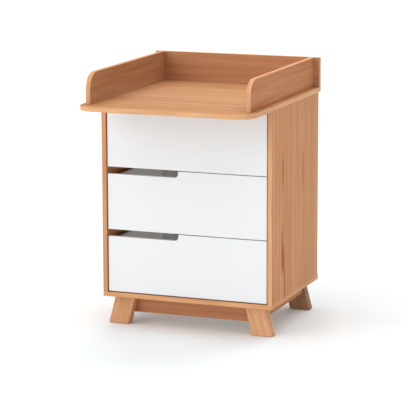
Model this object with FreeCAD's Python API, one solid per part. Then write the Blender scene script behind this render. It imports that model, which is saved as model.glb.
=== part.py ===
"""Changing table: a three-drawer chest on splayed legs, with a changing tray on top.

Millimetres. +X is to the right seen from the front, +Y to the rear, +Z up.
The origin is on the floor, under the centre of the whole object's box.
"""
import FreeCAD, Part
import os

# ---------------------------------------------------------------- driving dimensions
board = 16.0                # laminated board of the chest and the tray
edge_round = 1.0            # rounding left by the edge banding

cabinet_width = 620.0
side_depth = 502.0          # side panels, front edge to rear edge
bottom_depth = 510.0        # bottom panel, a little deeper than the sides
leg_height = 102.0          # floor to the underside of the bottom panel
top_underside = 782.0       # top edge of the side panels

top_width = 625.0           # chest's top panel and the board that carries it forward
extension_depth = 216.0     # board in front of the top panel
extension_corner = 60.0
tray_height = 122.0         # underside of the top to the top of the tray's boards
tray_side_inset = 20.5      # side board's outer face behind the top's side edge
tray_side_setback = 50.0    # side board's front edge behind the extension's front edge
tray_side_corner = 55.0

leg_width = 74.0
leg_thickness = 34.0
leg_splay = 27.0            # sideways lean over the leg's height
leg_foot_span = 604.6       # outer edge to outer edge at the floor
leg_setback = 30.0          # leg's outer face behind the chest's front or rear edge
leg_round = 2.0
glide_height = 2.0
glide_radius = 12.0

rail_outer_half = 275.0     # under-frame's side rails, outer face from the middle
apron_height = 63.0
frame_rail_height = 39.0

top_rail_width = 80.0
top_rail_setback = 60.0     # leaves room for fingers behind the top drawer's front

drawer_side_gap = 4.0       # front to side panel
drawer_recess = 4.0         # front's face behind the panels' edges
drawer_bottom_gap = 3.5
drawer_gap = 3.0            # between two fronts
drawer_top_gap = 5.0
notch_length = 260.0
notch_depth = 22.0
notch_corner = 14.0

box_board = 12.0
box_depth = 450.0
box_foot = 14.0             # box side's lower edge above the front's lower edge
box_head = 33.0             # box side's top edge below the front's top edge
base_thickness = 3.0
base_rise = 12.0            # base above the box side's lower edge
groove = 5.0

runner_length = 450.0
runner_gap = 12.7           # side panel to drawer box
runner_setback = 2.0        # behind the drawer front's rear face
runner_rise = 60.0          # middle of the runner above the box side's lower edge
runner_steel = 1.2

back_thickness = 3.0
back_margin = 2.0

# ---------------------------------------------------------------- fasteners and their places
confirmat_length = 50.0
confirmat_head = 3.0
dowel_length = 30.0
dowel_bite = 10.0           # dowel or bolt inside the side panel
screw_50_length = 50.0
screw_35_length = 35.0
screw_28_length = 28.0
leg_screw_length = 60.0
confirmat_places = (60.0, 250.0, 440.0)           # behind the chest's front edge
leg_screw_places = (220.0, 258.0)                 # from the middle
apron_screw_places = (-180.0, -60.0, 60.0, 180.0)
rear_rail_screw_places = (-140.0, 0.0, 140.0)
side_rail_screw_places = (140.0, 250.0, 360.0)
apron_leg_screws = (240.0, (55.0, 80.0))          # from the middle, heights
rear_leg_screws = ((212.0, 240.0), 84.0)
rail_dowel_offset = 28.0                          # each side of a top rail's middle
side_dowel_places = (200.0, 380.0)
extension_dowel_places = (-240.0, -80.0, 80.0, 240.0)
top_screw_places = (-180.0, 0.0, 180.0)
tray_side_screw_places = (-130.0, -40.0, 180.0, 380.0)
tray_back_screw_places = (-240.0, -80.0, 80.0, 240.0)
tray_back_screw_heights = (27.0, 82.0)            # above the top's face
nail_pitch = 108.0
nail_rows = 6
nail_start = 60.0
nail_rail_places = (-225.0, -75.0, 75.0, 225.0)

rail_cam = (7.5, 12.5, 34.0 + dowel_bite)         # housing radius, depth, bolt to its middle
drawer_bolt_bite = 11.0
drawer_cam = (6.0, 9.0, 24.0 + drawer_bolt_bite)
cam_thread = 11.0
drawer_cam_low = 40.0       # above the box side's lower edge
drawer_cam_high = 30.0      # below its top edge
box_screw_low = 35.0
box_screw_high = 25.0

# runner members: web face, flange tips (both from the side panel) and half height
cabinet_member = (0.0, 11.5, 22.5)
middle_member = (3.4, 11.9, 18.0)
drawer_member = (runner_gap, 6.5, 13.0)
wall_screw_places = (37.0, 229.0, 420.0)          # from the runner's front end
box_screw_places = (60.0, 200.0, 380.0)

# ---------------------------------------------------------------- derived places
total_depth = extension_depth + side_depth + board
cabinet_front = extension_depth - total_depth / 2     # Y of the panels' front edges
cabinet_half = cabinet_width / 2
inside_half = cabinet_half - board
bottom_top = leg_height + board
top_face = top_underside + board
tray_top = top_underside + tray_height
side_rear = cabinet_front + side_depth
extension_front = cabinet_front - extension_depth
front_face = cabinet_front + drawer_recess
front_rear = front_face + board
front_half = inside_half - drawer_side_gap
lowest_front = bottom_top + drawer_bottom_gap
front_height = (top_underside - drawer_top_gap - lowest_front - 2 * drawer_gap) / 3
box_half = inside_half - runner_gap
box_rear = front_rear + box_depth
tray_side_outer = top_width / 2 - tray_side_inset
apron_front = cabinet_front + leg_setback + leg_thickness
rear_leg_front = side_rear - leg_setback - leg_thickness
frame_rail_low = leg_height - frame_rail_height
rail_low = top_underside - board
rear_rail_front = side_rear - top_rail_width

UP = FreeCAD.Vector(0, 0, 1)
DOWN = FreeCAD.Vector(0, 0, -1)
REARWARD = FreeCAD.Vector(0, 1, 0)
FORWARD = FreeCAD.Vector(0, -1, 0)
RIGHT = FreeCAD.Vector(1, 0, 0)
LEFT = FreeCAD.Vector(-1, 0, 0)
SIDES = (("left", -1), ("right", 1))

nodes = {}


# ---------------------------------------------------------------- helpers
def point(x, y, z):
    """A FreeCAD vector."""
    return FreeCAD.Vector(x, y, z)


def block(x_range, y_range, z_range):
    """A plain box between two X, two Y and two Z values, in any order."""
    lows = [min(r) for r in (x_range, y_range, z_range)]
    sizes = [max(r) - min(r) for r in (x_range, y_range, z_range)]
    return Part.makeBox(*sizes, point(*lows))


def panel(x_range, y_range, z_range, rounding=edge_round):
    """A board with all its edges slightly rounded."""
    solid = block(x_range, y_range, z_range)
    return solid.makeFillet(rounding, solid.Edges)


def mirrored(side, inner, outer):
    """An X range on the left (-1) or the right (1) side."""
    return (side * inner, side * outer)


def placed(master, positions, direction):
    """Copies of a fastener made along +Z, its head at each position, driven along direction."""
    turn = FreeCAD.Rotation(UP, direction)
    copies = []
    for position in positions:
        copy = master.copy()
        copy.Placement = FreeCAD.Placement(position, turn)
        copies.append(copy)
    return copies


def drill(name, cutters):
    """Cut the fasteners' outer shapes out of a finished node."""
    nodes[name] = nodes[name].cut(Part.makeCompound(cutters))


# ---------------------------------------------------------------- fasteners, made along +Z
def countersunk_body(radius, length, head_radius):
    """Outer shape of a countersunk screw: cone head, shank and short point."""
    head = head_radius - radius
    cone = Part.makeCone(head_radius, radius, head)
    shank = Part.makeCylinder(radius, length - head - radius, point(0, 0, head))
    tip = Part.makeCone(radius, radius / 4, radius, point(0, 0, length - radius))
    return cone.fuse([shank, tip]).removeSplitter()


def pan_body(radius, length, head_radius, head_height):
    """Outer shape of a pan-head screw: the head stands in front of the origin."""
    head = Part.makeCylinder(head_radius, head_height, point(0, 0, -head_height))
    shank = Part.makeCylinder(radius, length, point(0, 0, 0))
    return head.fuse(shank).removeSplitter()


def cross_recess(size, depth, top=0.0):
    """Cross-shaped pocket for the driver."""
    width = size / 5
    one = Part.makeBox(size, width, depth, point(-size / 2, -width / 2, top))
    other = Part.makeBox(width, size, depth, point(-width / 2, -size / 2, top))
    return one.fuse(other)


def hexagon_socket(across, depth):
    """Six-sided pocket for an Allen key."""
    ring = [FreeCAD.Rotation(UP, 60.0 * i).multVec(point(across / 2, 0, 0)) for i in range(6)]
    return Part.Face(Part.makePolygon(ring + ring[:1])).extrude(UP * depth)


def confirmat_body():
    """Outer shape of a 7 x 50 connecting screw: head, smooth neck and thinner thread."""
    head = Part.makeCone(5.0, 3.5, confirmat_head)
    neck = Part.makeCylinder(3.5, board - confirmat_head, point(0, 0, confirmat_head))
    thread = Part.makeCylinder(2.6, confirmat_length - board, point(0, 0, board))
    return head.fuse([neck, thread]).removeSplitter()


screw_35 = countersunk_body(2.0, screw_35_length, 4.0)
screw_28 = countersunk_body(1.75, screw_28_length, 3.5)
screw_50 = countersunk_body(2.0, screw_50_length, 4.0)
leg_screw = countersunk_body(2.5, leg_screw_length, 5.0)
runner_screw_long = pan_body(1.75, 13.0, 3.4, 1.6)
runner_screw_short = pan_body(1.75, 11.0, 3.4, 1.6)
confirmat = confirmat_body()
dowel = Part.makeCylinder(4.0, dowel_length)
nail = pan_body(0.8, 19.0, 2.5, 1.0)
recess_small = cross_recess(4.4, 1.4)
recess_large = cross_recess(6.0, 2.0)
recess_pan = cross_recess(4.0, 1.0, -1.6)
socket = hexagon_socket(4.0, 3.0)


# ---------------------------------------------------------------- chest
def make_chest():
    """Side panels, bottom panel, top rails and back panel."""
    for name, side in SIDES:
        nodes["side_panel_" + name] = panel(mirrored(side, inside_half, cabinet_half),
                                            (cabinet_front, side_rear),
                                            (bottom_top, top_underside))
    nodes["bottom_panel"] = panel((-cabinet_half, cabinet_half),
                                  (cabinet_front, cabinet_front + bottom_depth),
                                  (leg_height, bottom_top))
    front = cabinet_front + top_rail_setback
    for name, start in (("front", front), ("rear", rear_rail_front)):
        nodes["top_rail_" + name] = panel((-inside_half, inside_half),
                                          (start, start + top_rail_width),
                                          (rail_low, top_underside))
    nodes["back_panel"] = block((back_margin - cabinet_half, cabinet_half - back_margin),
                                (side_rear, side_rear + back_thickness),
                                (bottom_top + 1.0, top_underside - 1.0))


# ---------------------------------------------------------------- legs and under-frame
def leg(side, front):
    """A leaning leg: a parallelogram seen from the front, with rounded edges."""
    foot = side * leg_foot_span / 2
    lean = leg_splay * (leg_height - glide_height) / leg_height
    corners = [(foot, glide_height), (foot - side * leg_width, glide_height),
               (foot - side * (leg_width + lean), leg_height), (foot - side * lean, leg_height)]
    ring = [point(x, front, z) for x, z in corners]
    solid = Part.Face(Part.makePolygon(ring + ring[:1])).extrude(REARWARD * leg_thickness)
    sloping = [edge for edge in solid.Edges
               if abs(edge.BoundBox.ZLength) > leg_height / 2]
    return solid.makeFillet(leg_round, sloping)


def glide(side, middle_y):
    """A round plastic glide with its pin, under the middle of the leg's foot."""
    middle_x = side * (leg_foot_span / 2 - leg_width / 2)
    disc = Part.makeCylinder(glide_radius, glide_height, point(middle_x, middle_y, 0))
    pin = Part.makeCylinder(1.5, 12.0, point(middle_x, middle_y, glide_height))
    return disc.fuse(pin).removeSplitter()


def make_legs():
    """Four legs, the front apron and the under-frame's rails."""
    glides = []
    for row, front in (("front", cabinet_front + leg_setback), ("rear", rear_leg_front)):
        for name, side in SIDES:
            node = "leg_" + row + "_" + name
            nodes[node] = leg(side, front)
            foot = glide(side, front + leg_thickness / 2)
            glides.append(foot)
            drill(node, [foot])
    nodes["leg_glides"] = Part.makeCompound(glides)
    nodes["front_apron"] = panel((-rail_outer_half, rail_outer_half),
                                 (apron_front, apron_front + board),
                                 (leg_height - apron_height, leg_height))
    for name, side in SIDES:
        nodes["frame_rail_" + name] = panel(
            mirrored(side, rail_outer_half - board, rail_outer_half),
            (apron_front + board, rear_leg_front), (frame_rail_low, leg_height))
    nodes["frame_rail_rear"] = panel((board - rail_outer_half, rail_outer_half - board),
                                     (rear_leg_front - board, rear_leg_front),
                                     (frame_rail_low, leg_height))


# ---------------------------------------------------------------- changing tray
def make_tray():
    """Top panel, its extension with rounded corners, two side boards and the back board."""
    across = (-top_width / 2, top_width / 2)
    nodes["top_panel"] = panel(across, (cabinet_front, side_rear), (top_underside, top_face))
    extension = block(across, (extension_front, cabinet_front), (top_underside, top_face))
    corners = [edge for edge in extension.Edges
               if edge.BoundBox.ZLength > 1 and edge.BoundBox.YMax < extension_front + 1]
    extension = extension.makeFillet(extension_corner, corners)
    nodes["top_extension"] = extension.makeFillet(edge_round, extension.Edges)
    for name, side in SIDES:
        side_board = block(mirrored(side, tray_side_outer - board, tray_side_outer),
                           (extension_front + tray_side_setback, side_rear), (top_face, tray_top))
        corner = [edge for edge in side_board.Edges
                  if edge.BoundBox.XLength > 1 and edge.BoundBox.ZMin > tray_top - 1
                  and edge.BoundBox.YMax < 0]
        side_board = side_board.makeFillet(tray_side_corner, corner)
        nodes["tray_side_" + name] = side_board.makeFillet(edge_round, side_board.Edges)
    nodes["tray_back_board"] = panel(across, (side_rear, side_rear + board),
                                     (top_underside, tray_top))


# ---------------------------------------------------------------- fixed fasteners
def make_bottom_fasteners():
    """Connecting screws into the sides, and screws into the legs and the under-frame."""
    edge_middle = cabinet_half - board / 2
    heads = [point(side * edge_middle, cabinet_front + y, leg_height)
             for _, side in SIDES for y in confirmat_places]
    cutters = placed(confirmat, heads, UP)
    nodes["confirmat_screws"] = Part.makeCompound(placed(confirmat.cut(socket), heads, UP))
    for name in ("bottom_panel", "side_panel_left", "side_panel_right"):
        drill(name, cutters)

    leg_rows = (cabinet_front + leg_setback + leg_thickness / 2,
                rear_leg_front + leg_thickness / 2)
    heads = [point(side * x, y, bottom_top)
             for _, side in SIDES for y in leg_rows for x in leg_screw_places]
    cutters = placed(leg_screw, heads, DOWN)
    nodes["leg_screws"] = Part.makeCompound(placed(leg_screw.cut(recess_large), heads, DOWN))
    for name in ("bottom_panel", "leg_front_left", "leg_front_right",
                 "leg_rear_left", "leg_rear_right"):
        drill(name, cutters)

    rail_middle = rail_outer_half - board / 2
    down = [point(x, apron_front + board / 2, bottom_top) for x in apron_screw_places]
    down += [point(x, rear_leg_front - board / 2, bottom_top) for x in rear_rail_screw_places]
    down += [point(side * rail_middle, cabinet_front + y, bottom_top)
             for _, side in SIDES for y in side_rail_screw_places]
    into_front_legs = [point(side * apron_leg_screws[0], apron_front + board, z)
                       for _, side in SIDES for z in apron_leg_screws[1]]
    into_rear_legs = [point(side * x, rear_leg_front - board, rear_leg_screws[1])
                      for _, side in SIDES for x in rear_leg_screws[0]]
    rows = ((down, DOWN), (into_front_legs, FORWARD), (into_rear_legs, REARWARD))
    cutters = [screw for heads, way in rows for screw in placed(screw_35, heads, way)]
    nodes["frame_screws"] = Part.makeCompound(
        [screw for heads, way in rows for screw in placed(screw_35.cut(recess_small), heads, way)])
    for name in ("bottom_panel", "front_apron", "frame_rail_left", "frame_rail_right",
                 "frame_rail_rear", "leg_front_left", "leg_front_right",
                 "leg_rear_left", "leg_rear_right"):
        drill(name, cutters)


def cam_fitting(cam_radius, cam_depth, reach):
    """A cam housing and its bolt. The bolt runs along +Z from its screwed end at the origin;
    the housing's axis is along +Y, its open face at Y = 0, its middle reach along the bolt."""
    middle = cam_depth / 2 + 1.0
    housing = Part.makeCylinder(cam_radius, cam_depth, point(0, 0, reach), REARWARD)
    slot = Part.makeBox(cam_radius / 3, 1.5, cam_radius,
                        point(-cam_radius / 6, 0, reach - cam_radius / 2))
    thread = Part.makeCylinder(2.5, cam_thread, point(0, middle, 0))
    neck = Part.makeCylinder(3.0, reach - cam_thread, point(0, middle, cam_thread))
    bolt = thread.fuse(neck).removeSplitter()
    return housing.cut(slot).cut(bolt), bolt, housing


def fittings_at(parts, placements):
    """Copies of a cam fitting's housing and bolt, and the plugs that make their holes."""
    housing, bolt, plug = parts
    solids, cutters = [], []
    for placement in placements:
        for master, target in ((housing, solids), (bolt, solids), (bolt, cutters), (plug, cutters)):
            copy = master.copy()
            copy.Placement = placement
            target.append(copy)
    return solids, cutters


def turned(origin, along, opening):
    """A placement whose Z is along the bolt and whose -Y is the way the housing opens."""
    across = opening.negative().cross(along)
    return FreeCAD.Placement(origin, FreeCAD.Rotation(across, opening.negative(), along))


def make_top_fasteners():
    """Dowels and cam fittings of the top rails, and the top panel's dowels and screws."""
    rail_middles = (cabinet_front + top_rail_setback + top_rail_width / 2,
                    rear_rail_front + top_rail_width / 2)
    rail_height = rail_low + board / 2
    dowels = []
    for _, side in SIDES:
        outward = RIGHT if side > 0 else LEFT
        starts = [point(side * (inside_half + dowel_bite - dowel_length), y + offset, rail_height)
                  for y in rail_middles for offset in (-rail_dowel_offset, rail_dowel_offset)]
        dowels += placed(dowel, starts, outward)
        starts = [point(side * (cabinet_half - board / 2), cabinet_front + y,
                        top_underside + dowel_bite - dowel_length)
                  for y in side_dowel_places]
        dowels += placed(dowel, starts, UP)
    starts = [point(x, cabinet_front - dowel_length / 2, top_underside + board / 2)
              for x in extension_dowel_places]
    dowels += placed(dowel, starts, REARWARD)
    nodes["wood_dowels"] = Part.makeCompound(dowels)

    parts = cam_fitting(*rail_cam)
    placements = []
    for _, side in SIDES:
        inward = LEFT if side > 0 else RIGHT
        placements += [turned(point(side * (inside_half + dowel_bite), y, rail_low), inward, DOWN)
                       for y in rail_middles]
    solids, cam_cutters = fittings_at(parts, placements)
    nodes["rail_cam_fittings"] = Part.makeCompound(solids)

    heads = [point(x, y, rail_low) for y in rail_middles for x in top_screw_places]
    screw_cutters = placed(screw_28, heads, UP)
    nodes["top_screws"] = Part.makeCompound(placed(screw_28.cut(recess_small), heads, UP))
    for name in ("top_rail_front", "top_rail_rear", "side_panel_left", "side_panel_right",
                 "top_panel", "top_extension"):
        drill(name, dowels + cam_cutters + screw_cutters)


def make_tray_fasteners():
    """Screws that hold the tray's boards, and the back panel's nails."""
    side_middle = tray_side_outer - board / 2
    upward = [point(side * side_middle, cabinet_front + y, top_underside)
              for _, side in SIDES for y in tray_side_screw_places]
    rear_face = side_rear + board
    forward = [point(x, rear_face, top_underside + board / 2) for x in tray_back_screw_places]
    forward += [point(side * side_middle, rear_face, top_face + z)
                for _, side in SIDES for z in tray_back_screw_heights]
    rows = ((upward, UP), (forward, FORWARD))
    cutters = [screw for heads, way in rows for screw in placed(screw_50, heads, way)]
    nodes["tray_screws"] = Part.makeCompound(
        [screw for heads, way in rows for screw in placed(screw_50.cut(recess_small), heads, way)])
    for name in ("top_panel", "top_extension", "tray_side_left", "tray_side_right",
                 "tray_back_board"):
        drill(name, cutters)

    nail_face = side_rear + back_thickness
    heads = [point(side * (cabinet_half - board / 2), nail_face,
                   bottom_top + nail_start + nail_pitch * i)
             for _, side in SIDES for i in range(nail_rows)]
    heads += [point(x, nail_face, rail_low + board / 2) for x in nail_rail_places]
    nails = placed(nail, heads, FORWARD)
    nodes["back_panel_nails"] = Part.makeCompound(nails)
    for name in ("back_panel", "side_panel_left", "side_panel_right", "top_rail_rear"):
        drill(name, nails)


# ---------------------------------------------------------------- runners
def channel(side, web, flange_tip, half_height, middle_z):
    """A steel channel along Y. web and flange_tip are distances from the side panel's inner
    face: the flanges run from the web's outer face to flange_tip."""
    start = front_rear + runner_setback
    length = (start, start + runner_length)
    grow = 1 if flange_tip > web else -1

    def across(near, far):
        return (side * (inside_half - near), side * (inside_half - far))

    outside = block(across(web, flange_tip), length,
                    (middle_z - half_height, middle_z + half_height))
    inside = block(across(web + grow * runner_steel, flange_tip + grow), length,
                   (middle_z - half_height + runner_steel, middle_z + half_height - runner_steel))
    return outside.cut(inside)


def make_runners(level, box_low):
    """Cabinet, middle and drawer members of one drawer's pair of runners, and their screws."""
    middle_z = box_low + runner_rise
    start = front_rear + runner_setback
    members = {"cabinet": [], "middle": [], "drawer": []}
    wall_screws, box_screws, wall_cutters, box_cutters = [], [], [], []
    for _, side in SIDES:
        outward = RIGHT if side > 0 else LEFT
        wall_heads = [point(side * (inside_half - runner_steel), start + y, middle_z)
                      for y in wall_screw_places]
        box_heads = [point(side * (inside_half - runner_gap + runner_steel), start + y, middle_z)
                     for y in box_screw_places]
        wall_cutters += placed(runner_screw_long, wall_heads, outward)
        wall_screws += placed(runner_screw_long.cut(recess_pan), wall_heads, outward)
        box_cutters += placed(runner_screw_short, box_heads, outward.negative())
        box_screws += placed(runner_screw_short.cut(recess_pan), box_heads, outward.negative())
        members["cabinet"].append(channel(side, *cabinet_member, middle_z))
        members["middle"].append(channel(side, *middle_member, middle_z))
        members["drawer"].append(channel(side, *drawer_member, middle_z))
    cutters = {"cabinet": wall_cutters, "drawer": box_cutters, "middle": None}
    for kind, solids in members.items():
        group = Part.makeCompound(solids)
        if cutters[kind]:
            group = group.cut(Part.makeCompound(cutters[kind]))
        prefix = "drawer_" + level if kind == "drawer" else "runner_" + level
        nodes[prefix + "_" + kind + "_members"] = group
    return wall_screws, wall_cutters, box_screws, box_cutters


# ---------------------------------------------------------------- drawers
def drawer_front(low):
    """Front board with a finger notch along the left half of its top edge."""
    top = low + front_height
    end = notch_length - front_half
    floor = top - notch_depth
    corner_middle = point(end - notch_corner * (1 - 0.5 ** 0.5), front_face,
                          floor + notch_corner * (1 - 0.5 ** 0.5))
    ring = [point(-front_half, front_face, low), point(front_half, front_face, low),
            point(front_half, front_face, top), point(end, front_face, top),
            point(end, front_face, floor + notch_corner)]
    edges = [Part.makeLine(a, b) for a, b in zip(ring, ring[1:])]
    corner_end = point(end - notch_corner, front_face, floor)
    left_end = point(-front_half, front_face, floor)
    edges.append(Part.Arc(ring[-1], corner_middle, corner_end).toShape())
    edges += [Part.makeLine(corner_end, left_end), Part.makeLine(left_end, ring[0])]
    solid = Part.Face(Part.Wire(edges)).extrude(REARWARD * board)
    return solid.makeFillet(edge_round, solid.Edges)


def make_drawer(level, low):
    """One drawer: front, box, base, runner members, fittings and screws."""
    name = "drawer_" + level
    box_low = low + box_foot
    box_top = low + front_height - box_head
    nodes[name + "_front"] = drawer_front(low)
    for word, side in SIDES:
        nodes[name + "_side_" + word] = panel(mirrored(side, box_half - box_board, box_half),
                                              (front_rear, box_rear), (box_low, box_top))
    inner = box_half - box_board
    nodes[name + "_back"] = panel((-inner, inner), (box_rear - box_board, box_rear),
                                  (box_low, box_top))
    base = block((-inner - groove, inner + groove),
                 (front_rear - groove, box_rear - box_board + groove),
                 (box_low + base_rise, box_low + base_rise + base_thickness))
    nodes[name + "_base"] = base
    for board_name in ("_front", "_side_left", "_side_right", "_back"):
        drill(name + board_name, [base])

    parts = cam_fitting(*drawer_cam)
    placements = []
    for _, side in SIDES:
        inward = LEFT if side > 0 else RIGHT
        placements += [turned(point(side * inner, front_rear - drawer_bolt_bite, z),
                              REARWARD, inward)
                       for z in (box_low + drawer_cam_low, box_top - drawer_cam_high)]
    fittings, fitting_cutters = fittings_at(parts, placements)
    nodes[name + "_cam_fittings"] = Part.makeCompound(fittings)

    wall_screws, wall_cutters, screws, cutters = make_runners(level, box_low)
    for _, side in SIDES:
        inward = LEFT if side > 0 else RIGHT
        heads = [point(side * box_half, box_rear - box_board / 2, z)
                 for z in (box_low + box_screw_low, box_top - box_screw_high)]
        cutters += placed(screw_35, heads, inward)
        screws += placed(screw_35.cut(recess_small), heads, inward)
    nodes[name + "_screws"] = Part.makeCompound(screws)
    for board_name in ("_front", "_side_left", "_side_right", "_back"):
        drill(name + board_name, fitting_cutters + cutters)
    return wall_screws, wall_cutters


def make_drawers():
    """The three drawers, from the lowest up, and the runners' screws in the side panels."""
    all_screws, all_cutters = [], []
    for index, level in enumerate(("lower", "middle", "upper")):
        screws, cutters = make_drawer(level, lowest_front + index * (front_height + drawer_gap))
        all_screws += screws
        all_cutters += cutters
    nodes["runner_screws"] = Part.makeCompound(all_screws)
    for name in ("side_panel_left", "side_panel_right"):
        drill(name, all_cutters)


# ---------------------------------------------------------------- build and write
def main():
    """Build every node, and write each to its own STEP file."""
    make_chest()
    make_legs()
    make_tray()
    make_bottom_fasteners()
    make_top_fasteners()
    make_tray_fasteners()
    make_drawers()
    os.makedirs("parts", exist_ok=True)
    for name, shape in sorted(nodes.items()):
        if not shape.isValid():
            print("not valid:", name)
        shape.exportStep("parts/" + name + ".step")
    print(len(nodes), "nodes")


main()
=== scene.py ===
"""Looks of a changing table: its finishes, runner steelwork and studio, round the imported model."""
import logging
import math
from collections.abc import Callable
from dataclasses import dataclass
from enum import Enum
from typing import Any

import bmesh
import bpy
from mathutils import Matrix, Vector


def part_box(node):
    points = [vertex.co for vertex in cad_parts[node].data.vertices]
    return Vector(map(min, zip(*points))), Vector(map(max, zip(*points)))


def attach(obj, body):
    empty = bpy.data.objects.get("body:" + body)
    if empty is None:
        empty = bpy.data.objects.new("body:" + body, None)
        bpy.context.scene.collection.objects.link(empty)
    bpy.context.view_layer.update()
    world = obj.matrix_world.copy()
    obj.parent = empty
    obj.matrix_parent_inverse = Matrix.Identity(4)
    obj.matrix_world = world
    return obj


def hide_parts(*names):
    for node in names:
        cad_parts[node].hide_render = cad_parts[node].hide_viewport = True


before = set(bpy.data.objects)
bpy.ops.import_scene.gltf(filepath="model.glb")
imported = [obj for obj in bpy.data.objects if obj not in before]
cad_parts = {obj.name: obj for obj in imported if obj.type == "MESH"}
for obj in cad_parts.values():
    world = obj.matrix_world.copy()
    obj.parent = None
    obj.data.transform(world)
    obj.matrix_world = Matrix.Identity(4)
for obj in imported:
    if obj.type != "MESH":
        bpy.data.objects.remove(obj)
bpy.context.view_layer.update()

LEVELS = ("lower", "middle", "upper")
SIDES = {"left": -1, "right": 1}
MM = 0.001
# half size of a mark across a board, in metres: it goes right through
THROUGH = 1.0
LOG = logging.getLogger("changing_table")

Colour = tuple[float, float, float, float]
Triple = tuple[float, float, float]
Pair = tuple[float, float]
Values = dict[str | int, Any]
Placing = Callable[[float, float, float], Triple]

# refractive index of melamine, lacquer, oil and common plastics
COATING_IOR = 1.5


class Axis(Enum):
    """A direction of the row frame."""

    X = 0
    Y = 1
    Z = 2


# ------------------------------------------------------------------ shader helpers
def linear(code: str, shade: Triple = (1.0, 1.0, 1.0)) -> Colour:
    """Turn an sRGB hex code into a linear colour.

    Args:
        code: six hex digits after a hash.
        shade: factors that the linear red, green and blue are multiplied by.

    Returns:
        Red, green, blue and an alpha of 1.
    """
    parts = [int(code[i:i + 2], 16) / 255 for i in (1, 3, 5)]
    red, green, blue = (
        factor * (part / 12.92 if part <= 0.04045 else ((part + 0.055) / 1.055) ** 2.4)
        for part, factor in zip(parts, shade)
    )
    return (red, green, blue, 1.0)


def add_node(
    tree: bpy.types.NodeTree, kind: str, settings: Values | None = None, links: Values | None = None
) -> bpy.types.Node:
    """Add a shader node with its settings and links.

    Args:
        tree: node tree that gets the node.
        kind: Blender's name of the node's type, after "ShaderNode".
        settings: the node's own properties.
        links: for each input, the output it is linked to, or its value.

    Returns:
        The new node.
    """
    node = tree.nodes.new("ShaderNode" + kind)
    for name, value in (settings or {}).items():
        setattr(node, name, value)
    for name, value in (links or {}).items():
        if isinstance(value, bpy.types.NodeSocket):
            tree.links.new(value, node.inputs[name])
        else:
            node.inputs[name].default_value = value
    return node


def stretched(axis: Axis, along: float, across: float) -> Triple:
    """Pattern scale that is long along one axis.

    Args:
        axis: direction in which the pattern is long.
        along: size of one figure along that axis, in millimetres.
        across: its size along the other two, in millimetres.

    Returns:
        Scale along X, Y and Z, in figures per metre.
    """
    sizes = [1 / (MM * (along if a is axis else across)) for a in Axis]
    return (sizes[0], sizes[1], sizes[2])


# ------------------------------------------------------------------ finishes
@dataclass(frozen=True)
class Finish:
    """A finish that makes its own material once."""

    name: str

    def surface(self, tree: bpy.types.NodeTree) -> bpy.types.Node:
        """Add the finish's nodes and return its shader."""
        raise NotImplementedError

    def material(self) -> bpy.types.Material:
        """Return the finish's material, made on first use."""
        known = bpy.data.materials.get(self.name)
        if known is not None:
            return known
        made = bpy.data.materials.new(self.name)
        made.use_nodes = True
        made.node_tree.nodes.clear()
        shader = self.surface(made.node_tree)
        add_node(made.node_tree, "OutputMaterial", links={"Surface": shader.outputs[0]})
        return made


@dataclass(frozen=True)
class DarkMark:
    """A long dark mark on one board, for the print's flames and for painted shade along a joint: its
    middle and half size in metres, and how dark it is.
    """

    middle: Triple
    half: Triple
    depth: float


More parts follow.
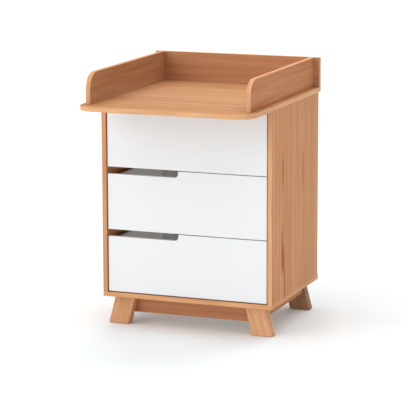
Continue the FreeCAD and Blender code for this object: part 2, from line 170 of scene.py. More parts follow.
@dataclass(frozen=True)
class BeechLaminate(Finish):
    """Particle board faced with melamine paper, printed with steamed beech and pressed satin.

    The eye gets a calm pink-brown face with long soft streaks, and paler edges: the edge
    banding is a plastic strip printed apart from the faces, so it never quite matches.
    """

    thickness: Axis = Axis.X
    grain: Axis = Axis.Z
    shade: Triple = (1.0, 1.0, 1.0)
    band_shade: Triple = (1.0, 1.0, 1.0)
    # moves the print, so that no two boards are alike
    shift: Triple = (0.0, 0.0, 0.0)
    # dark marks: the print's flames, and on the top's two boards painted shade along their joint
    flames: tuple[DarkMark, ...] = ()
    light: str = "#d3a074"
    dark: str = "#ba7d50"
    band_light: str = "#e6b284"
    band_dark: str = "#d39c6d"
    # colour of the print's flames, also used for the painted shade along a joint
    figure: str = "#a85f30"
    # length and width of one figure in millimetres, and its share of the contrast
    layers: tuple[Triple, ...] = ((1500.0, 75.0, 0.40), (620.0, 15.0, 0.42), (260.0, 5.0, 0.30))
    layer_step: float = 3.7
    layer_roughness: float = 0.55
    layer_distortion: float = 0.25
    layer_offset: float = -0.06
    layer_range: Pair = (0.34, 0.66)
    # a flame is at its darkest where it is this far from its rim to its middle
    flame_core: float = 0.75
    # length and width of one pore in millimetres
    pore: Pair = (14.0, 0.8)
    pore_range: Pair = (0.60, 0.72)
    pore_depth: float = 0.25
    # length and width of the banding's streaks in millimetres
    strip_length: float = 150.0
    strip_width: float = 4.0
    strip_range: Pair = (0.35, 0.65)
    # a surface that faces along the thickness by more than this is a face, not an edge
    face_range: Pair = (0.80, 0.86)
    satin: Pair = (0.45, 0.58)
    relief_strength: float = 0.35
    relief_mm: float = 0.06
    sheen_level: float = 0.08

    def streaks(
        self, tree: bpy.types.NodeTree, place: bpy.types.NodeSocket
    ) -> bpy.types.NodeSocket:
        """Add the faces' printed grain.

        Args:
            tree: node tree of the material.
            place: output with the point on the board, in metres.

        Returns:
            Output that is 0 in light wood and 1 in dark wood.
        """
        total: bpy.types.NodeSocket | float = self.layer_offset
        for number, (along, across, share) in enumerate(self.layers):
            point = add_node(tree, "Mapping", links={
                "Vector": place,
                "Location": tuple(s + self.layer_step * number for s in self.shift),
                "Scale": stretched(self.grain, along, across),
            })
            noise = add_node(tree, "TexNoise", links={
                "Vector": point.outputs[0], "Scale": 1.0, "Detail": 3.0,
                "Roughness": self.layer_roughness, "Distortion": self.layer_distortion,
            })
            total = add_node(tree, "Math", {"operation": "MULTIPLY_ADD"}, {
                0: noise.outputs["Fac"], 1: share, 2: total,
            }).outputs[0]
        return add_node(tree, "MapRange", links={
            "Value": total, "From Min": self.layer_range[0], "From Max": self.layer_range[1],
        }).outputs[0]

    def dark_marks(
        self, tree: bpy.types.NodeTree, place: bpy.types.NodeSocket
    ) -> bpy.types.NodeSocket | float:
        """Add the board's dark marks: the print's flames, and painted shade along a joint.

        Args:
            tree: node tree of the material.
            place: output with the point on the board, in metres.

        Returns:
            Output that is 0 outside the marks, or the number 0 where the board has none.
        """
        total: bpy.types.NodeSocket | float = 0.0
        for flame in self.flames:
            inside = add_node(tree, "Mapping", {"vector_type": "TEXTURE"}, {
                "Vector": place, "Location": flame.middle, "Scale": flame.half,
            })
            figure = add_node(tree, "TexGradient", {"gradient_type": "SPHERICAL"}, {
                "Vector": inside.outputs[0],
            })
            soft = add_node(tree, "MapRange", {"interpolation_type": "SMOOTHSTEP"}, {
                "Value": figure.outputs["Fac"], "From Min": 0.0, "From Max": self.flame_core,
            })
            total = add_node(tree, "Math", {"operation": "MULTIPLY_ADD"}, {
                0: soft.outputs[0], 1: flame.depth, 2: total,
            }).outputs[0]
        return total

    def surface(self, tree: bpy.types.NodeTree) -> bpy.types.Node:
        """Add the faces, the edge banding and the pressed pores."""
        place = add_node(tree, "TexCoord")
        grain = self.streaks(tree, place.outputs["Object"])
        pores = add_node(tree, "TexNoise", links={
            "Vector": add_node(tree, "Mapping", links={
                "Vector": place.outputs["Object"], "Location": self.shift,
                "Scale": stretched(self.grain, *self.pore),
            }).outputs[0],
            "Scale": 1.0, "Detail": 1.0,
        })
        pit = add_node(tree, "MapRange", links={
            "Value": pores.outputs["Fac"],
            "From Min": self.pore_range[0], "From Max": self.pore_range[1],
        })
        tone = add_node(tree, "Math", {"operation": "MULTIPLY_ADD", "use_clamp": True}, {
            0: pit.outputs[0], 1: self.pore_depth, 2: grain,
        })
        plain = add_node(tree, "Mix", {"data_type": "RGBA"}, {
            0: tone.outputs[0], 6: linear(self.light, self.shade), 7: linear(self.dark, self.shade),
        })
        face = add_node(tree, "Mix", {"data_type": "RGBA"}, {
            0: self.dark_marks(tree, place.outputs["Object"]), 6: plain.outputs[2],
            7: linear(self.figure, self.shade),
        })
        # the banding's streaks run along every edge: long in the board's plane, thin across it
        strip_size = [
            self.strip_width if axis is self.thickness else self.strip_length for axis in Axis
        ]
        strip = add_node(tree, "TexNoise", links={
            "Vector": add_node(tree, "Mapping", links={
                "Vector": place.outputs["Object"], "Location": self.shift,
                "Scale": tuple(1 / (MM * size) for size in strip_size),
            }).outputs[0],
            "Scale": 1.0, "Detail": 2.0,
        })
        strip_tone = add_node(tree, "MapRange", links={
            "Value": strip.outputs["Fac"],
            "From Min": self.strip_range[0], "From Max": self.strip_range[1],
        })
        band = add_node(tree, "Mix", {"data_type": "RGBA"}, {
            0: strip_tone.outputs[0], 6: linear(self.band_light, self.band_shade),
            7: linear(self.band_dark, self.band_shade),
        })
        facing = add_node(tree, "SeparateXYZ", links={0: place.outputs["Normal"]})
        flat = add_node(tree, "Math", {"operation": "ABSOLUTE"}, {
            0: facing.outputs[self.thickness.value],
        })
        on_face = add_node(tree, "MapRange", links={
            "Value": flat.outputs[0],
            "From Min": self.face_range[0], "From Max": self.face_range[1],
        })
        colour = add_node(tree, "Mix", {"data_type": "RGBA"}, {
            0: on_face.outputs[0], 6: band.outputs[2], 7: face.outputs[2],
        })
        gloss = add_node(tree, "MapRange", links={
            "Value": tone.outputs[0], "To Min": self.satin[0], "To Max": self.satin[1],
        })
        relief = add_node(tree, "Bump", {"invert": True}, {
            "Strength": self.relief_strength, "Distance": self.relief_mm * MM,
            "Height": tone.outputs[0],
        })
        return add_node(tree, "BsdfPrincipled", links={
            "Base Color": colour.outputs[2], "Roughness": gloss.outputs[0],
            "Normal": relief.outputs[0], "IOR": COATING_IOR, "Specular IOR Level": self.sheen_level,
        })


@dataclass(frozen=True)
class SolidBeech(Finish):
    """Steamed beech, planed, sanded and oiled.

    The eye gets growth lines that lean with the leg, short dark ray flecks and a low sheen.
    """

    lean: float = 0.0
    shade: Triple = (1.0, 1.0, 1.0)
    shift: Triple = (0.0, 0.0, 0.0)
    light: str = "#dba677"
    dark: str = "#b87c50"
    # length and width of one growth line, broad band and ray fleck in millimetres
    growth_mm: Pair = (190.0, 7.0)
    broad_mm: Pair = (260.0, 30.0)
    fleck_mm: Pair = (9.0, 1.4)
    growth_distortion: float = 0.6
    tone_range: Pair = (0.72, 1.30)
    fleck_range: Pair = (0.62, 0.72)
    fleck_depth: float = 0.35
    oiled: Pair = (0.42, 0.58)
    relief_strength: float = 0.4
    relief_mm: float = 0.1

    def surface(self, tree: bpy.types.NodeTree) -> bpy.types.Node:
        """Add growth lines, broad tone and flecks along the leaning grain."""
        place = add_node(tree, "TexCoord")
        upright = add_node(tree, "VectorRotate", {"rotation_type": "Y_AXIS"}, {
            "Vector": place.outputs["Object"], "Angle": self.lean,
        })
        lines = add_node(tree, "TexNoise", links={
            "Vector": add_node(tree, "Mapping", links={
                "Vector": upright.outputs[0], "Location": self.shift,
                "Scale": stretched(Axis.Z, *self.growth_mm),
            }).outputs[0],
            "Scale": 1.0, "Detail": 3.0, "Distortion": self.growth_distortion,
        })
        broad = add_node(tree, "TexNoise", links={
            "Vector": add_node(tree, "Mapping", links={
                "Vector": upright.outputs[0], "Location": self.shift,
                "Scale": stretched(Axis.Z, *self.broad_mm),
            }).outputs[0],
            "Scale": 1.0, "Detail": 2.0,
        })
        flecks = add_node(tree, "TexNoise", links={
            "Vector": add_node(tree, "Mapping", links={
                "Vector": upright.outputs[0], "Scale": stretched(Axis.Z, *self.fleck_mm),
            }).outputs[0],
            "Scale": 1.0, "Detail": 0.0,
        })
        fleck = add_node(tree, "MapRange", links={
            "Value": flecks.outputs["Fac"], "From Min": self.fleck_range[0],
            "From Max": self.fleck_range[1], "To Max": self.fleck_depth,
        })
        both = add_node(tree, "Math", {"operation": "ADD"}, {
            0: lines.outputs["Fac"], 1: broad.outputs["Fac"],
        })
        tone = add_node(tree, "MapRange", links={
            "Value": both.outputs[0],
            "From Min": self.tone_range[0], "From Max": self.tone_range[1],
        })
        marked = add_node(tree, "Math", {"operation": "ADD", "use_clamp": True}, {
            0: tone.outputs[0], 1: fleck.outputs[0],
        })
        colour = add_node(tree, "Mix", {"data_type": "RGBA"}, {
            0: marked.outputs[0], 6: linear(self.light, self.shade),
            7: linear(self.dark, self.shade),
        })
        gloss = add_node(tree, "MapRange", links={
            "Value": marked.outputs[0], "To Min": self.oiled[0], "To Max": self.oiled[1],
        })
        relief = add_node(tree, "Bump", {"invert": True}, {
            "Strength": self.relief_strength, "Distance": self.relief_mm * MM,
            "Height": marked.outputs[0],
        })
        return add_node(tree, "BsdfPrincipled", links={
            "Base Color": colour.outputs[2], "Roughness": gloss.outputs[0],
            "Normal": relief.outputs[0], "IOR": COATING_IOR,
        })


@dataclass(frozen=True)
class WhiteMelamine(Finish):
    """White melamine paper on board, pressed with a fine pearl.

    The eye gets an even white with a soft, slightly broken sheen.
    """

    colour: str = "#edeeef"
    shadow: str = "#eaebec"
    cloud_mm: float = 180.0
    pearl_mm: float = 1.6
    satin: Pair = (0.36, 0.50)
    relief_strength: float = 0.2
    relief_mm: float = 0.03

    def surface(self, tree: bpy.types.NodeTree) -> bpy.types.Node:
        """Add the cloud of tone and the pearl."""
        place = add_node(tree, "TexCoord")
        cloud = add_node(tree, "TexNoise", links={
            "Vector": place.outputs["Object"], "Scale": 1 / (self.cloud_mm * MM), "Detail": 2.0,
        })
        colour = add_node(tree, "Mix", {"data_type": "RGBA"}, {
            0: cloud.outputs["Fac"], 6: linear(self.colour), 7: linear(self.shadow),
        })
        # a real pearl is about 0.4 mm wide: this one is coarser, so that it shows
        pearl = add_node(tree, "TexNoise", links={
            "Vector": place.outputs["Object"], "Scale": 1 / (self.pearl_mm * MM), "Detail": 1.0,
        })
        gloss = add_node(tree, "MapRange", links={
            "Value": pearl.outputs["Fac"], "To Min": self.satin[0], "To Max": self.satin[1],
        })
        relief = add_node(tree, "Bump", links={
            "Strength": self.relief_strength, "Distance": self.relief_mm * MM,
            "Height": pearl.outputs["Fac"],
        })
        return add_node(tree, "BsdfPrincipled", links={
            "Base Color": colour.outputs[2], "Roughness": gloss.outputs[0],
            "Normal": relief.outputs[0], "IOR": COATING_IOR,
        })


@dataclass(frozen=True)
class Hardboard(Finish):
    """Wet-pressed hardboard: one face lacquered white, the other with its brown wire-mesh print.

    The eye gets a smooth white inside, and outside a dull brown with felted fibres.
    """

    white_side: Triple = (0.0, -1.0, 0.0)
    white: str = "#e4e3e0"
    brown: str = "#8f6d4b"
    fibre: str = "#74563a"
    felt_mm: float = 9.0
    felt_roughness: float = 0.7
    felt_distortion: float = 1.2
    mesh_mm: float = 2.4
    mesh_randomness: float = 0.15
    # roughness of the felted face and of the lacquered one
    rough: Pair = (0.8, 0.35)
    relief_strength: float = 0.5
    relief_mm: float = 0.25

    def surface(self, tree: bpy.types.NodeTree) -> bpy.types.Node:
        """Add the lacquered face, the felted face and the mesh print."""
        place = add_node(tree, "TexCoord")
        felt = add_node(tree, "TexNoise", links={
            "Vector": place.outputs["Object"], "Scale": 1 / (self.felt_mm * MM), "Detail": 6.0,
            "Roughness": self.felt_roughness, "Distortion": self.felt_distortion,
        })
        back = add_node(tree, "Mix", {"data_type": "RGBA"}, {
            0: felt.outputs["Fac"], 6: linear(self.brown), 7: linear(self.fibre),
        })
        side = add_node(tree, "VectorMath", {"operation": "DOT_PRODUCT"}, {
            0: place.outputs["Normal"], 1: self.white_side,
        })
        lacquered = add_node(tree, "Math", {"operation": "GREATER_THAN"}, {
            0: side.outputs["Value"], 1: 0.5,
        })
        colour = add_node(tree, "Mix", {"data_type": "RGBA"}, {
            0: lacquered.outputs[0], 6: back.outputs[2], 7: linear(self.white),
        })
        gloss = add_node(tree, "MapRange", links={
            "Value": lacquered.outputs[0], "To Min": self.rough[0], "To Max": self.rough[1],
        })
        # the press screen leaves squares of about 1.3 mm: drawn wider, so that they show
        knots = add_node(tree, "TexVoronoi", {"feature": "F1", "distance": "CHEBYCHEV"}, {
            "Vector": place.outputs["Object"], "Scale": 1 / (self.mesh_mm * MM),
            "Randomness": self.mesh_randomness,
        })
        rough = add_node(tree, "Math", {"operation": "SUBTRACT"}, {
            0: knots.outputs["Distance"], 1: lacquered.outputs[0],
        })
        depth = add_node(tree, "Math", {"operation": "MAXIMUM"}, {0: rough.outputs[0], 1: 0.0})
        relief = add_node(tree, "Bump", links={
            "Strength": self.relief_strength, "Distance": self.relief_mm * MM,
            "Height": depth.outputs[0],
        })
        return add_node(tree, "BsdfPrincipled", links={
            "Base Color": colour.outputs[2], "Roughness": gloss.outputs[0],
            "Normal": relief.outputs[0], "IOR": COATING_IOR,
        })


@dataclass(frozen=True)
class Metal(Finish):
    """Plated or cast metal.

    The eye gets a cold grey with streaks from rolling, or the even grain of a casting.
    """

    tint: str = "#c5c8cb"
    deep: str = "#a9adb1"
    # length and width of one streak in millimetres: real ones are finer, and wouldn't show
    streak_mm: Pair = (60.0, 0.8)
    rough: Pair = (0.24, 0.42)
    relief_strength: float = 0.2
    relief_mm: float = 0.02

    def surface(self, tree: bpy.types.NodeTree) -> bpy.types.Node:
        """Add the drawn or cast texture to a bare metal."""
        place = add_node(tree, "TexCoord")
        streak = add_node(tree, "TexNoise", links={
            "Vector": add_node(tree, "Mapping", links={
                "Vector": place.outputs["Object"], "Scale": stretched(Axis.Y, *self.streak_mm),
            }).outputs[0],
            "Scale": 1.0, "Detail": 3.0,
        })
        colour = add_node(tree, "Mix", {"data_type": "RGBA"}, {
            0: streak.outputs["Fac"], 6: linear(self.tint), 7: linear(self.deep),
        })
        gloss = add_node(tree, "MapRange", links={
            "Value": streak.outputs["Fac"], "To Min": self.rough[0], "To Max": self.rough[1],
        })
        relief = add_node(tree, "Bump", links={
            "Strength": self.relief_strength, "Distance": self.relief_mm * MM,
            "Height": streak.outputs["Fac"],
        })
        return add_node(tree, "BsdfPrincipled", links={
            "Base Color": colour.outputs[2], "Roughness": gloss.outputs[0], "Metallic": 1.0,
            "Normal": relief.outputs[0],
        })


@dataclass(frozen=True)
class MouldedPlastic(Finish):
    """Polyethylene or polypropylene, injection moulded with a spark-eroded skin.

    The eye gets a dull even colour with a fine grain.
    """

    colour: str = "#5a4638"
    pale: str = "#665143"
    grit_mm: float = 0.9
    rough: Pair = (0.45, 0.6)
    relief_strength: float = 0.3
    relief_mm: float = 0.04

    def surface(self, tree: bpy.types.NodeTree) -> bpy.types.Node:
        """Add the eroded skin."""
        place = add_node(tree, "TexCoord")
        grit = add_node(tree, "TexNoise", links={
            "Vector": place.outputs["Object"], "Scale": 1 / (self.grit_mm * MM), "Detail": 2.0,
        })
        colour = add_node(tree, "Mix", {"data_type": "RGBA"}, {
            0: grit.outputs["Fac"], 6: linear(self.colour), 7: linear(self.pale),
        })
        gloss = add_node(tree, "MapRange", links={
            "Value": grit.outputs["Fac"], "To Min": self.rough[0], "To Max": self.rough[1],
        })
        relief = add_node(tree, "Bump", links={
            "Strength": self.relief_strength, "Distance": self.relief_mm * MM,
            "Height": grit.outputs["Fac"],
        })
        return add_node(tree, "BsdfPrincipled", links={
            "Base Color": colour.outputs[2], "Roughness": gloss.outputs[0],
            "Normal": relief.outputs[0], "IOR": COATING_IOR,
        })


WHITE_BOARD = WhiteMelamine("white_melamine_board")
ZINC_STEEL = Metal("zinc_plated_rolled_steel")
SCREW_STEEL = Metal("zinc_plated_turned_steel", tint="#c9c9c2", streak_mm=(3.0, 1.0))
CAST_ZINC = Metal(
    "cast_zinc_alloy", tint="#a9abae", deep="#93969a", streak_mm=(1.2, 1.2), rough=(0.38, 0.55)
)
GLIDE_PLASTIC = MouldedPlastic("moulded_polyethylene_glide")


def dress(node: str, finish: Finish) -> None:
    """Give a CAD node its finish.

    Args:
        node: name of the CAD node.
        finish: finish that covers all of it.
    """
    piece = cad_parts[node]
    if not piece.material_slots:
        piece.data.materials.append(None)
    for slot in piece.material_slots:
        slot.material = finish.material()
    LOG.info("%s: %s", node, finish.name)


def painted_joint_shade(
    reach: float = 4.0, half_width: float = 3.5, depth: float = 1.2
) -> tuple[DarkMark, ...]:
    """Return the painted shade along the joint across the top: a dark line where the small groove
    between the boards falls into shade.

    Args:
        reach: half length in metres, so long that the line doesn't fade at its ends.
        half_width: from the joint to where the line has faded, in millimetres.
        depth: how dark it is.

    Returns:
        The line, as a mark for both boards at the joint.
    """
    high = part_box("top_extension")[1]
    return (DarkMark((0.0, high.y, high.z), (reach, half_width * MM, THROUGH), depth),)


# ------------------------------------------------------------------ sub-assemblies
@dataclass
class Chest:
    """Side panels, bottom, top panel, rails and back.

    Here and in the other sub-assemblies a shade is a part's tone against its finish's own.
    Part of it stands in for light that the studio's few lamps don't give.
    """

    side_shade: Triple = (1.08, 1.00, 0.96)
    left_band_shade: Triple = (0.87, 0.79, 0.77)
    bottom_band_shade: Triple = (0.95, 0.90, 0.87)
    top_shade: Triple = (0.95, 0.98, 1.00)
    rail_shade: Triple = (0.95, 0.95, 0.95)
    # each figure's middle from the panel's front edge and from its foot, its half width and
    # half length, all in metres, and how dark it is
    side_figures: tuple[tuple[float, float, float, float, float], ...] = (
        (0.114, 0.138, 0.024, 0.075, 1.1),
        (0.107, 0.200, 0.012, 0.085, 0.8),
        (0.134, 0.050, 0.011, 0.110, 0.9),
        (0.111, 0.440, 0.014, 0.080, 0.8),
        (0.330, 0.420, 0.025, 0.110, 0.5),
    )

    def flames(self) -> tuple[DarkMark, ...]:
        """Return the dark figures of the right side panel."""
        low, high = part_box("side_panel_right")
        return tuple(
            DarkMark((high.x, low.y + along, low.z + up), (THROUGH, half_width, half_length), depth)
            for along, up, half_width, half_length, depth in self.side_figures
        )

    def dress(self) -> None:
        """Cover the chest's boards."""
        dress("side_panel_right", BeechLaminate(
            "beech_laminate_right_side", Axis.X, Axis.Z, shade=self.side_shade,
            flames=self.flames(), shift=(4.0, 7.1, 0.6),
        ))
        dress("side_panel_left", BeechLaminate(
            "beech_laminate_left_side", Axis.X, Axis.Z, shade=self.side_shade,
            band_shade=self.left_band_shade, shift=(1.0, 2.3, 5.0),
        ))
        dress("bottom_panel", BeechLaminate(
            "beech_laminate_bottom", Axis.Z, Axis.X, band_shade=self.bottom_band_shade,
            shift=(2.2, 6.3, 1.0),
        ))
        # the top panel's mark is painted shade along its joint with the extension
        dress("top_panel", BeechLaminate(
            "beech_laminate_top", Axis.Z, Axis.X, shade=self.top_shade,
            flames=painted_joint_shade(), shift=(6.4, 1.3, 8.0),
        ))
        for name in ("top_rail_front", "top_rail_rear"):
            dress(name, BeechLaminate(
                "beech_laminate_rails", Axis.Z, Axis.X, shade=self.rail_shade, shift=(3.3, 3.3, 0.4)
            ))
        dress("back_panel", Hardboard("hardboard_back", (0.0, -1.0, 0.0)))


@dataclass
class UnderFrame:
    """Splayed legs with the apron and rails between them."""

    # how far a leg's foot stands out over the leg's height, in millimetres
    splay: float = 27.0
    height: float = 102.0
    # the rear legs are darker and the front right one lighter than the wood, to stand in for
    # light: this shows from behind
    apron_shade: Triple = (0.88, 0.79, 0.85)
    rear_shade: Triple = (0.61, 0.60, 0.62)
    left_shade: Triple = (1.07, 1.05, 1.03)
    right_shade: Triple = (1.26, 1.36, 1.44)

    def dress(self) -> None:
        """Cover the legs, rails and glides."""
        lean = math.atan(self.splay / self.height)
        for row in ("front", "rear"):
            for side, sign in SIDES.items():
                front_shade = self.left_shade if side == "left" else self.right_shade
                dress(f"leg_{row}_{side}", SolidBeech(
                    f"solid_beech_leg_{row}_{side}", lean=sign * lean,
                    shade=front_shade if row == "front" else self.rear_shade,
                    shift=(1.7 * sign, 2.1 if row == "front" else 5.4, 0.8 * sign),
                ))
        dress("front_apron", BeechLaminate(
            "beech_laminate_apron", Axis.Y, Axis.X, shade=self.apron_shade, shift=(5.0, 0.7, 2.9)
        ))
        for side in SIDES:
            dress(f"frame_rail_{side}", BeechLaminate(
                "beech_laminate_side_rails", Axis.X, Axis.Y, shift=(0.3, 4.0, 2.0)
            ))
        dress("frame_rail_rear", BeechLaminate(
            "beech_laminate_rear_rail", Axis.Y, Axis.X, shift=(9.0, 0.2, 4.0)
        ))
        dress("leg_glides", GLIDE_PLASTIC)


@dataclass
class ChangingTray:
    """The top's extension and the boards that stand on the top."""

    extension_shade: Triple = (0.95, 0.98, 1.00)
    left_shade: Triple = (0.93, 0.99, 1.16)
    left_band_shade: Triple = (0.97, 0.91, 0.87)
    right_shade: Triple = (0.95, 0.78, 0.70)
    right_band_shade: Triple = (1.00, 0.98, 1.06)
    back_shade: Triple = (0.99, 1.02, 1.17)

    def dress(self) -> None:
        """Cover the tray's boards."""
        # the extension's mark is painted shade along its joint with the top panel
        dress("top_extension", BeechLaminate(
            "beech_laminate_extension", Axis.Z, Axis.X, shade=self.extension_shade,
            flames=painted_joint_shade(), shift=(2.0, 9.1, 3.0),
        ))
        for side in SIDES:
            dress(f"tray_side_{side}", BeechLaminate(
                f"beech_laminate_tray_{side}", Axis.X, Axis.Y,
                shade=self.left_shade if side == "left" else self.right_shade,
                band_shade=self.left_band_shade if side == "left" else self.right_band_shade,
                shift=(1.1, 3.0, 6.0) if side == "left" else (8.0, 0.4, 2.6),
            ))
        dress("tray_back_board", BeechLaminate(
            "beech_laminate_tray_back", Axis.Y, Axis.X, shade=self.back_shade,
            shift=(7.7, 2.8, 5.2),
        ))


@dataclass
class Drawer:
    """One drawer: white boards on a hardboard base."""

    level: str

    def dress(self) -> None:
        """Cover the drawer's boards and fittings."""
        name = f"drawer_{self.level}"
        for board in ("front", "side_left", "side_right", "back"):
            dress(f"{name}_{board}", WHITE_BOARD)
        dress(f"{name}_base", Hardboard("hardboard_drawer_base", (0.0, 0.0, 1.0)))
        dress(f"{name}_cam_fittings", CAST_ZINC)
        dress(f"{name}_screws", SCREW_STEEL)


@dataclass(frozen=True)
class Channel:
    """A rolled channel along Y. Distances across are from the side panel, in millimetres.

    The web stands at web, and the flanges run from it to tip, where a narrow lip turns in.
    slots holds the slots' middles, measured from the channel's front end.
    """

    web: float
    tip: float
    half_height: float
    steel: float = 1.2
    corner: float = 2.0
    lip: float = 1.3
    slots: tuple[float, ...] = ()
    slot_length: float = 16.0
    slot_width: float = 5.0
    turns: int = 6

    def profile(self) -> list[Pair]:
        """Return the upper half of the middle surface, from the web to the lip."""
        grow = 1.0 if self.tip > self.web else -1.0
        web, tip = self.web + grow * self.steel / 2, self.tip - grow * self.steel / 2
        top = self.half_height - self.steel / 2
        points = []
        for step in range(self.turns + 1):
            angle = math.pi / 2 * step / self.turns
            points.append((
                web + grow * self.corner * (1 - math.cos(angle)),
                top - self.corner * (1 - math.sin(angle)),
            ))
        points.append((tip - grow * self.lip / 2, top))
        points.append((tip, top - self.lip / 2))
        points.append((tip, top - self.lip))
        return points

    def add_web(self, shape: bmesh.types.BMesh, place: Placing, ends: Pair) -> None:
        """Fill the web round its slots.

        Args:
            shape: mesh that gets the faces.
            place: function from across, along and up to a point of the mesh.
            ends: where the channel starts and stops along Y, in millimetres.
        """
        across, up = self.profile()[0]
        loops = [[(ends[0], -up), (ends[1], -up), (ends[1], up), (ends[0], up)]]
        radius = self.slot_width / 2
        straight = self.slot_length / 2 - radius
        for middle in self.slots:
            loop = []
            for step in range(2 * self.turns + 2):
                half = step // (self.turns + 1)
                angle = math.pi * (step - half) / self.turns - math.pi / 2
                side = 1 - 2 * half
                loop.append((
                    ends[0] + middle + side * straight + radius * math.cos(angle),
                    radius * math.sin(angle),
                ))
            loops.append(loop)
        edges = []
        for loop in loops:
            corners = [shape.verts.new(place(across, along, high)) for along, high in loop]
            edges += [shape.edges.new((a, b)) for a, b in zip(corners, corners[1:] + corners[:1])]
        bmesh.ops.triangle_fill(shape, use_beauty=True, edges=edges)

    def add_flanges(self, shape: bmesh.types.BMesh, place: Placing, ends: Pair) -> None:
        """Add both flanges with their corners and lips.

        Args:
            shape: mesh that gets the faces.
            place: function from across, along and up to a point of the mesh.
            ends: where the channel starts and stops along Y, in millimetres.
        """
        for sign in (-1.0, 1.0):
            rows = [
                [shape.verts.new(place(across, end, sign * up)) for end in ends]
                for across, up in self.profile()
            ]
            for (a, b), (d, c) in zip(rows, rows[1:]):
                shape.faces.new((a, b, c, d))


@dataclass(frozen=True)
class BallRow:
    """A thin cage with balls between two members.

    ends is where it starts and stops behind the runner's front end. ball is a diameter, and
    across and up place the balls' middles. All are in millimetres.
    """

    cage: Channel
    ends: Pair
    ball: float
    across: float
    up: float
    pitch: float = 9.0
    subdivisions: int = 2


@dataclass
class Runners:
    """One pair of ball-bearing runners: rolled members with two rows of caged balls a side."""

    level: str
    cabinet: Channel = Channel(0.0, 11.5, 22.5, slots=(66.0, 130.0, 300.0, 364.0))
    middle: Channel = Channel(3.4, 11.9, 18.0, slots=(50.0, 225.0, 400.0), slot_length=34.0)
    drawer: Channel = Channel(12.7, 6.5, 13.0, slots=(66.0, 130.0, 300.0, 364.0))
    outer_row: BallRow = BallRow(
        Channel(2.85, 9.3, 19.9, 0.5, 0.9, 0.4, (14.0, 60.0, 106.0, 152.0), 30.0, 12.0),
        (230.0, 395.0), 3.2, 7.4, 19.65,
    )
    inner_row: BallRow = BallRow(
        Channel(5.1, 10.2, 15.15, 0.5, 0.9, 0.4, (14.0, 60.0, 106.0, 152.0), 30.0, 8.0),
        (6.0, 171.0), 3.4, 8.4, 14.9,
    )
    # corners sharper than this get a hard edge, and points nearer than weld are one
    sharp_angle: float = math.radians(40.0)
    weld: float = 0.01 * MM

    def start(self) -> Vector:
        """Return the runner's middle height and front end, on the side panel's inner face."""
        low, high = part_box(f"runner_{self.level}_cabinet_members")
        return Vector((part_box("side_panel_right")[0].x, low.y, (low.z + high.z) / 2))

    def placing(self, sign: float) -> Placing:
        """Return the function that places a point of one side's runner."""
        start = self.start()
        return lambda across, along, up: (
            sign * (start.x - across * MM), start.y + along * MM, start.z + up * MM
        )

    def finish(
        self, name: str, shape: bmesh.types.BMesh, steel: float, node: str | None, body: str
    ) -> None:
        """Turn sheets or balls into a piece of steel.

        Args:
            name: name of the piece.
            shape: middle surface of the sheet, or the balls.
            steel: the sheet's thickness in millimetres, 0 for balls.
            node: CAD node that the piece stands for, if any.
            body: body that it rides on.
        """
        bmesh.ops.remove_doubles(shape, verts=shape.verts[:], dist=self.weld)
        bmesh.ops.recalc_face_normals(shape, faces=shape.faces[:])
        mesh = bpy.data.meshes.new(name)
        shape.to_mesh(mesh)
        shape.free()
        mesh.shade_smooth()
        mesh.set_sharp_from_angle(angle=self.sharp_angle)
        mesh.materials.append(ZINC_STEEL.material())
        piece = bpy.data.objects.new(name, mesh)
        bpy.context.scene.collection.objects.link(piece)
        if steel:
            sheet = piece.modifiers.new("sheet", "SOLIDIFY")
            sheet.thickness = steel * MM
            sheet.offset = 0.0
        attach(piece, body)
        if node:
            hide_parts(node)
        LOG.info("%s: %s", name, ZINC_STEEL.name)

    def build_members(self, name: str, channel: Channel, node: str, body: str) -> None:
        """Roll one kind of member for both sides.

        Args:
            name: name of the piece.
            channel: the member's section and slots.
            node: CAD node that it stands for.
            body: body that it rides on.
        """
        low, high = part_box(node)
        start = self.start()
        ends = ((low.y - start.y) / MM, (high.y - start.y) / MM)
        shape = bmesh.new()
        for sign in SIDES.values():
            channel.add_web(shape, self.placing(sign), ends)
            channel.add_flanges(shape, self.placing(sign), ends)
        self.finish(name, shape, channel.steel, node, body)

    def build_row(self, name: str, row: BallRow) -> None:
        """Build one row's cage and balls for both sides.

        Args:
            name: start of the pieces' names.
            row: the cage, its place and its balls.
        """
        body = f"runner_{self.level}"
        cages, balls = bmesh.new(), bmesh.new()
        for sign in SIDES.values():
            place = self.placing(sign)
            row.cage.add_web(cages, place, row.ends)
            row.cage.add_flanges(cages, place, row.ends)
            count = int((row.ends[1] - row.ends[0]) / row.pitch)
            for number in range(count):
                along = row.ends[0] + row.pitch * (number + 0.5)
                for up in (-row.up, row.up):
                    bmesh.ops.create_icosphere(
                        balls, subdivisions=row.subdivisions, radius=row.ball / 2 * MM,
                        matrix=Matrix.Translation(place(row.across, along, up)),
                    )
        self.finish(f"{name}_cages", cages, row.cage.steel, None, body)
        self.finish(f"{name}_balls", balls, 0.0, None, body)

    def build(self) -> None:
        """Build the members of both runners and the balls between them."""
        name = f"runner_{self.level}"
        self.build_members(
            f"{name}_cabinet_channels", self.cabinet, f"{name}_cabinet_members", "chest"
        )
        self.build_members(f"{name}_middle_channels", self.middle, f"{name}_middle_members", name)
        self.build_members(
            f"drawer_{self.level}_channels", self.drawer, f"drawer_{self.level}_drawer_members",
            f"drawer_{self.level}",
        )
        self.build_row(f"{name}_outer", self.outer_row)
        self.build_row(f"{name}_inner", self.inner_row)


@dataclass
class Fasteners:
    """Screws, nails, fittings and dowels of the chest and the tray."""

    screws: tuple[str, ...] = (
        "confirmat_screws", "leg_screws", "frame_screws", "top_screws", "tray_screws",
        "runner_screws", "back_panel_nails",
    )

    def dress(self) -> None:
        """Cover every fastener."""
        for name in self.screws:
            dress(name, SCREW_STEEL)
        dress("rail_cam_fittings", CAST_ZINC)
        dress("wood_dowels", SolidBeech("turned_beech_dowel", light="#d9b184", dark="#bf9565"))


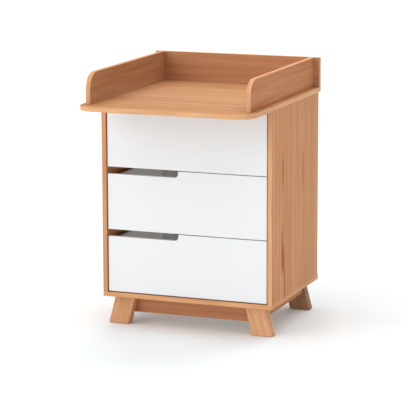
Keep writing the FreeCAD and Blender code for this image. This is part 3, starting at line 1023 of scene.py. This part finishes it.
# ------------------------------------------------------------------ studio
@dataclass(frozen=True)
class SoftLamp:
    """A large soft lamp, far enough away to light everything from one side."""

    name: str
    # degrees from straight in front, positive to the right, and above the floor
    azimuth: float
    elevation: float
    spread: float
    strength: float

    def build(self) -> None:
        """Hang the lamp."""
        turn, rise = math.radians(self.azimuth), math.radians(self.elevation)
        towards = Vector((
            math.sin(turn) * math.cos(rise), -math.cos(turn) * math.cos(rise), math.sin(rise)
        ))
        lamp = bpy.data.lights.new(self.name, "SUN")
        lamp.energy = self.strength
        lamp.angle = math.radians(self.spread)
        hung = bpy.data.objects.new(self.name, lamp)
        hung.rotation_euler = towards.to_track_quat("Z", "Y").to_euler()
        bpy.context.scene.collection.objects.link(hung)


@dataclass
class Studio:
    """Pale floor, soft light and the camera. Lengths are in metres, the lens in millimetres."""

    azimuth: float = math.radians(20.789)
    elevation: float = math.radians(11.073)
    roll: float = math.radians(-0.138)
    distance: float = 7.134896
    sideways: float = 0.07419
    lift: float = 0.42642
    lens: float = 179.374
    clip_end: float = 500.0
    floor_half: float = 60.0
    floor_colour: str = "#f1f5f7"
    sky_strength: float = 0.16
    lamps: tuple[SoftLamp, ...] = (
        SoftLamp("front_lamp", -30.0, 14.0, 50.0, 1.23),
        SoftLamp("top_lamp", 0.0, 78.0, 70.0, 1.10),
        SoftLamp("left_lamp", -75.0, 40.0, 60.0, 0.99),
        SoftLamp("right_lamp", 75.0, 40.0, 60.0, 0.50),
        SoftLamp("rear_lamp", 180.0, 50.0, 60.0, 1.62),
    )
    fill_size: Pair = (0.10, 0.30)
    fill_gap: float = 0.012
    fill_power: float = 0.35
    floor_fill_size: Pair = (0.50, 0.42)
    floor_fill_drop: float = 0.010
    floor_fill_power: float = 0.21
    floor_fill_colour: Triple = (0.78, 0.96, 1.0)

    def build_floor(self) -> None:
        """Lay a wide matt floor under the legs."""
        mesh = bpy.data.meshes.new("studio_floor")
        shape = bmesh.new()
        bmesh.ops.create_grid(shape, x_segments=2, y_segments=2, size=self.floor_half)
        shape.to_mesh(mesh)
        shape.free()
        floor = bpy.data.objects.new("studio_floor", mesh)
        bpy.context.scene.collection.objects.link(floor)
        paint = bpy.data.materials.new("matt_studio_floor")
        paint.use_nodes = True
        paint.node_tree.nodes.clear()
        shader = add_node(paint.node_tree, "BsdfDiffuse", links={
            "Color": linear(self.floor_colour), "Roughness": 0.0,
        })
        add_node(paint.node_tree, "OutputMaterial", links={"Surface": shader.outputs[0]})
        mesh.materials.append(paint)

    def build_light(self) -> None:
        """Light the scene with a weak even sky and soft lamps all round."""
        world = bpy.data.worlds.new("studio_sky")
        bpy.context.scene.world = world
        world.use_nodes = True
        world.node_tree.nodes.clear()
        sky = add_node(world.node_tree, "Background", links={
            "Color": (1.0, 1.0, 1.0, 1.0), "Strength": self.sky_strength,
        })
        add_node(world.node_tree, "OutputWorld", links={"Surface": sky.outputs[0]})
        for lamp in self.lamps:
            lamp.build()
        for level in LEVELS[:2]:
            self.build_fill(level)
        self.build_floor_fill()

    def build_fill(self, level: str) -> None:
        """Put a weak lamp inside a drawer, so that its notch doesn't look into blackness.

        Args:
            level: which drawer.
        """
        low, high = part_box(f"drawer_{level}_side_right")
        lamp = bpy.data.lights.new(f"fill_{level}", "AREA")
        lamp.shape = "RECTANGLE"
        lamp.size, lamp.size_y = self.fill_size
        lamp.energy = self.fill_power
        fill = bpy.data.objects.new(f"fill_{level}", lamp)
        fill.rotation_euler = (0.0, math.radians(90.0), 0.0)
        fill.location = (low.x - self.fill_gap, (low.y + high.y) / 2, (low.z + high.z) / 2)
        bpy.context.scene.collection.objects.link(fill)

    def build_floor_fill(self) -> None:
        """Put a weak cool lamp under the chest, so that the floor there isn't too dark."""
        low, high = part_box("bottom_panel")
        lamp = bpy.data.lights.new("floor_fill", "AREA")
        lamp.shape = "RECTANGLE"
        lamp.size, lamp.size_y = self.floor_fill_size
        lamp.energy = self.floor_fill_power
        lamp.color = self.floor_fill_colour
        fill = bpy.data.objects.new("floor_fill", lamp)
        fill.location = ((low.x + high.x) / 2, (low.y + high.y) / 2, low.z - self.floor_fill_drop)
        bpy.context.scene.collection.objects.link(fill)

    def build_camera(self) -> None:
        """Place the camera in front, to the right and above."""
        sin_a, cos_a = math.sin(self.azimuth), math.cos(self.azimuth)
        sin_e, cos_e = math.sin(self.elevation), math.cos(self.elevation)
        back = Vector((sin_a * cos_e, -cos_a * cos_e, sin_e))
        level = Vector((cos_a, sin_a, 0.0))
        upright = back.cross(level)
        right = level * math.cos(self.roll) + upright * math.sin(self.roll)
        up = upright * math.cos(self.roll) - level * math.sin(self.roll)
        start = Vector((0.0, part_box("side_panel_left")[0].y, 0.0))
        place = start + back * self.distance + right * self.sideways + up * self.lift
        data = bpy.data.cameras.new("camera")
        data.lens = self.lens
        data.clip_end = self.clip_end
        camera = bpy.data.objects.new("camera", data)
        turn = Matrix((right, up, back)).transposed().to_4x4()
        camera.matrix_world = Matrix.Translation(place) @ turn
        bpy.context.scene.collection.objects.link(camera)
        bpy.context.scene.camera = camera

    def build(self) -> None:
        """Build the whole studio."""
        self.build_floor()
        self.build_light()
        self.build_camera()
        bpy.context.scene.view_settings.view_transform = "Standard"
        LOG.info("studio: floor, light and camera")


def main() -> None:
    """Build every sub-assembly and the studio."""
    logging.basicConfig(level=logging.INFO)
    Chest().dress()
    UnderFrame().dress()
    ChangingTray().dress()
    for level in LEVELS:
        Drawer(level).dress()
        Runners(level).build()
    Fasteners().dress()
    Studio().build()


if __name__ == "__main__":
    main()
